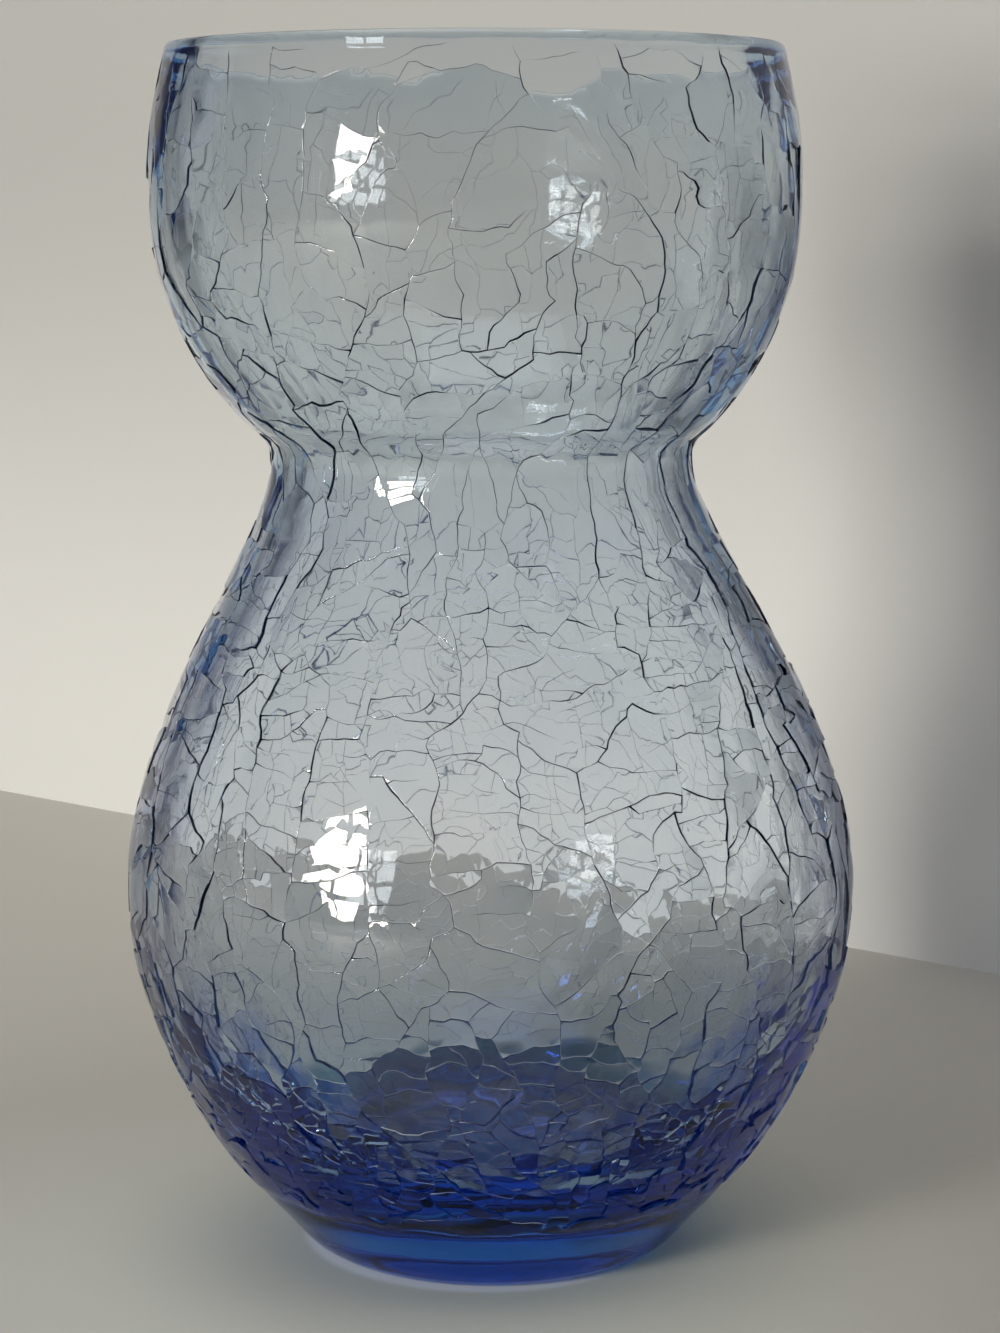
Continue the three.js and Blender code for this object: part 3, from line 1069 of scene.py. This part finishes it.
class VASE_OT_blow_glass(bpy.types.Operator):
    """Blow the wall of the vase and crackle its skin"""

    bl_idname = "vase.blow_glass"
    bl_label = "Blow glass"

    def execute(self, context):
        glass = context.scene.vase_glass
        crackle = context.scene.vase_crackle
        section = read_section()
        points, faces, grooved, dark, inner = draw_flat_glass(section, crackle)
        rough = np.where(inner, glass.inner_roughness, glass.roughness)
        rough[grooved] = glass.crack_roughness
        flat = bpy.data.meshes.new("flat_drawing")
        flat.from_pydata(points, [], faces)
        flat.attributes.new("dark", "FLOAT", "FACE").data.foreach_set("value", dark)
        flat.attributes.new("rough", "FLOAT", "FACE").data.foreach_set("value", rough)
        sharpen_grooves(flat, grooved)
        vase = wrap_glass("vase_glass", flat, section, blown_glass("blown_soda_glass", glass))
        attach(vase, "root")
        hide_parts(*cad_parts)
        return {"FINISHED"}


class VASE_OT_set_stage(bpy.types.Operator):
    """Set the vase on a pale table before a plain backdrop, with lamps and a camera"""

    bl_idname = "vase.set_stage"
    bl_label = "Set stage"

    def execute(self, context):
        stage = context.scene.vase_stage
        make_table(stage)
        make_backdrop(stage)
        make_lamps()
        make_world()
        make_camera(stage)
        context.scene.view_settings.view_transform = "Standard"
        paths = context.scene.cycles
        paths.max_bounces = paths.transmission_bounces = paths.glossy_bounces = stage.bounces
        return {"FINISHED"}


def flat_sheet(name, width, depth, material):
    """A flat sheet in its own XY plane, on the stage."""
    mesh = bpy.data.meshes.new(name)
    x, y = width / 2, depth / 2
    mesh.from_pydata([(-x, -y, 0), (x, -y, 0), (x, y, 0), (-x, y, 0)], [], [(0, 1, 2, 3)])
    mesh.materials.append(material)
    sheet = bpy.data.objects.new(name, mesh)
    bpy.context.collection.objects.link(sheet)
    return sheet


def make_table(stage):
    """A wide matt sheet, with the glass's blue shade and the light that its foot gathers painted on."""
    # Painted shade: the table gets darker towards the front right, as the light falls off there
    material, tree, surface = matt_paint(
        "matt_table_paint", stage.table, across=(0.6, -0.8, 0), near=-0.3, far=0.15, shade=0.7,
    )
    paint = surface.inputs["Base Color"].links[0].from_socket
    place = add_node(tree, "ShaderNodeNewGeometry").outputs["Position"]
    for colour, centre, near, far in TABLE_SPOTS:
        away = add_node(tree, "ShaderNodeVectorMath", {0: place, 1: centre}, operation="DISTANCE")
        share = add_node(tree, "ShaderNodeMapRange", {
            "Value": away.outputs["Value"], "From Min": near, "From Max": far, "To Min": 1.0, "To Max": 0.0,
        }, interpolation_type="SMOOTHSTEP").outputs[0]
        mix = add_node(tree, "ShaderNodeMix", {0: share, 6: paint, 7: (*linear(colour), 1)}, data_type="RGBA")
        paint = mix.outputs[2]
    tree.links.new(paint, surface.inputs["Base Color"])
    add_node(tree, "ShaderNodeOutputMaterial", {"Surface": surface.outputs[0]})
    flat_sheet("table", width=6, depth=6, material=material)


def make_backdrop(stage):
    """An upright sheet behind the vase, clear from its back so that it never hides the vase."""
    # Painted shade: the backdrop gets darker towards its top, as the light falls off there
    material, tree, surface = matt_paint(
        "matt_backdrop_paint", stage.wall, across=(0, 0, 1), near=0.02, far=0.2, shade=0.655,
    )
    back = add_node(tree, "ShaderNodeNewGeometry").outputs["Backfacing"]
    clear = add_node(tree, "ShaderNodeBsdfTransparent").outputs[0]
    shown = add_node(tree, "ShaderNodeMixShader", {0: back, 1: surface.outputs[0], 2: clear}).outputs[0]
    add_node(tree, "ShaderNodeOutputMaterial", {"Surface": shown})
    tall = 3
    sheet = flat_sheet("backdrop", width=5, depth=tall, material=material)
    sheet.rotation_euler = (math.pi / 2, 0, stage.wall_turn)
    sheet.location = (0, stage.wall_gap, tall / 2)


def make_lamps():
    """A window of panes at the front left, and plain soft lamps round the vase."""
    for name, place, size, panes, power, colour in LAMPS:
        wide, tall = ((length + PANE_BAR) / count for length, count in zip(size, panes))
        aim = (Vector(LAMP_AIM) - Vector(place)).to_track_quat("-Z", "Y")
        lamp = bpy.data.lights.new(name, "AREA")
        lamp.shape = "RECTANGLE"
        lamp.size = wide - PANE_BAR
        lamp.size_y = tall - PANE_BAR
        lamp.energy = power / (panes[0] * panes[1])
        lamp.color = linear(colour)
        for i, j in np.ndindex(panes):
            made = bpy.data.objects.new(name, lamp)
            across = Vector(((i - (panes[0] - 1) / 2) * wide, (j - (panes[1] - 1) / 2) * tall, 0))
            made.location = Vector(place) + aim @ across
            made.rotation_euler = aim.to_euler()
            bpy.context.collection.objects.link(made)


def make_world():
    """Faint bluish light from all round."""
    world = bpy.data.worlds.new("studio")
    world.use_nodes = True
    tree = world.node_tree
    tree.nodes.clear()
    sky = add_node(tree, "ShaderNodeBackground", {"Color": (*linear("#c8caec"), 1), "Strength": 0.11})
    add_node(tree, "ShaderNodeOutputWorld", {"Surface": sky.outputs[0]})
    bpy.context.scene.world = world


def make_camera(stage):
    """A camera in front of the vase, a little above its middle, that looks slightly down."""
    data = bpy.data.cameras.new("camera")
    data.lens = stage.lens
    camera = bpy.data.objects.new("camera", data)
    camera.location = (stage.sideways, -stage.distance, stage.eye)
    camera.rotation_euler = (math.pi / 2 - stage.pitch, 0, 0)
    bpy.context.collection.objects.link(camera)
    bpy.context.scene.camera = camera


class VASE_PT_sidebar(bpy.types.Panel):
    """The vase's settings and steps"""

    bl_label = "Forcing vase"
    bl_idname = "VASE_PT_sidebar"
    bl_space_type = "VIEW_3D"
    bl_region_type = "UI"
    bl_category = "Vase"

    def draw(self, context):
        for group in GROUPS:
            box = self.layout.box()
            props = getattr(context.scene, group)
            for name in props.__annotations__:
                box.prop(props, name)
        for operator in (VASE_OT_blow_glass, VASE_OT_set_stage):
            self.layout.operator(operator.bl_idname)


CLASSES = (VaseGlass, VaseCrackle, VaseStage, VASE_OT_blow_glass, VASE_OT_set_stage, VASE_PT_sidebar)
GROUPS = {"vase_glass": VaseGlass, "vase_crackle": VaseCrackle, "vase_stage": VaseStage}


def register():
    """Makes the settings and the operators known to Blender."""
    for each in CLASSES:
        bpy.utils.register_class(each)
    for name, group in GROUPS.items():
        setattr(bpy.types.Scene, name, PointerProperty(type=group))


def unregister():
    """Takes them away again."""
    for name in GROUPS:
        delattr(bpy.types.Scene, name)
    for each in reversed(CLASSES):
        bpy.utils.unregister_class(each)


def main():
    """Registers the add-on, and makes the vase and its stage."""
    register()
    bpy.ops.vase.blow_glass()
    bpy.ops.vase.set_stage()


if __name__ == "__main__":
    main()
